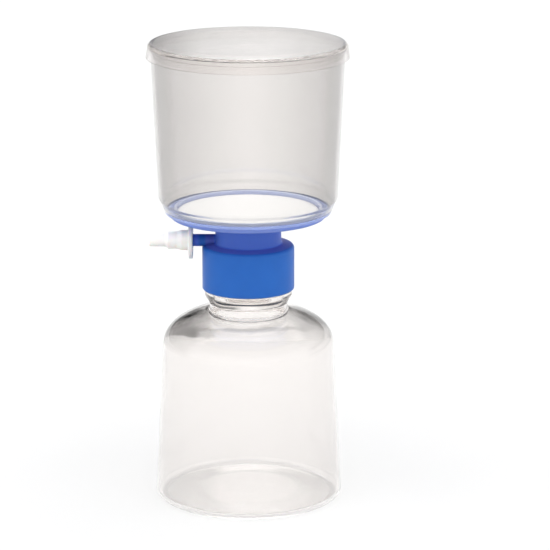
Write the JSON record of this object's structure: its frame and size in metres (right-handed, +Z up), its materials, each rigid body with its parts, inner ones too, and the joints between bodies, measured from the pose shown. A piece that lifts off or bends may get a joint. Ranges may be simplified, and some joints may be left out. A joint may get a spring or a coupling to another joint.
{
  "type": "vacuum filtration unit",
  "caption": "Clear covered filter chamber on a blue membrane base with a side vacuum port, screwed onto a clear shouldered receiver bottle.",
  "frame": {"origin": "centre of the bottle's standing face, on the surface that the unit stands on", "axes": "+Z up along the common axis of bottle, base and chamber; the vacuum port points along -X; +Y is away from the front view"},
  "size_m": [0.1048, 0.1048, 0.2412],
  "materials": {
    "clear_bottle": "clear moulded polystyrene, polished",
    "seal": "smooth soft elastomer",
    "blue_plastic": "moulded polystyrene, glossy, slightly translucent",
    "pale_blue_plastic": "moulded, satin",
    "membrane": "matt microporous sheet",
    "cotton": "fibrous",
    "white_plastic": "soft satin polyethylene",
    "clear_chamber": "clear moulded polystyrene, polished",
    "clear_lid": "clear moulded polystyrene, polished"
  },
  "bodies": {
    "receiver": {"receiver_bottle": "clear_bottle"},
    "gasket": {"seal_ring": "seal"},
    "head": {"filter_base": "blue_plastic", "support_plate": "pale_blue_plastic", "membrane": "membrane", "vacuum_plug": "cotton", "upper_chamber": "clear_chamber"},
    "adapter": {"hose_adapter": "white_plastic"},
    "cover": {"lid": "clear_lid"}
  },
  "joints": [
    {"name": "head_lift", "type": "slide", "parent": "receiver", "child": "gasket", "axis": [0, 0, 1], "range_m": [0, 0.0061]},
    {"name": "head_turn", "type": "hinge", "parent": "gasket", "child": "head", "pos_m": [0, 0, 0.1327], "axis": [0, 0, 1], "range_deg": [0, 540]},
    {"name": "lid_lift", "type": "slide", "parent": "head", "child": "cover", "axis": [0, 0, 1], "range_m": [0, 0.05]},
    {"name": "adapter_pull", "type": "slide", "parent": "head", "child": "adapter", "axis": [-1, 0, 0], "range_m": [0, 0.016]}
  ],
  "couplings": [
    {"joint": "head_lift", "follows": "head_turn", "m_per_rad": 0.00063662}
  ]
}
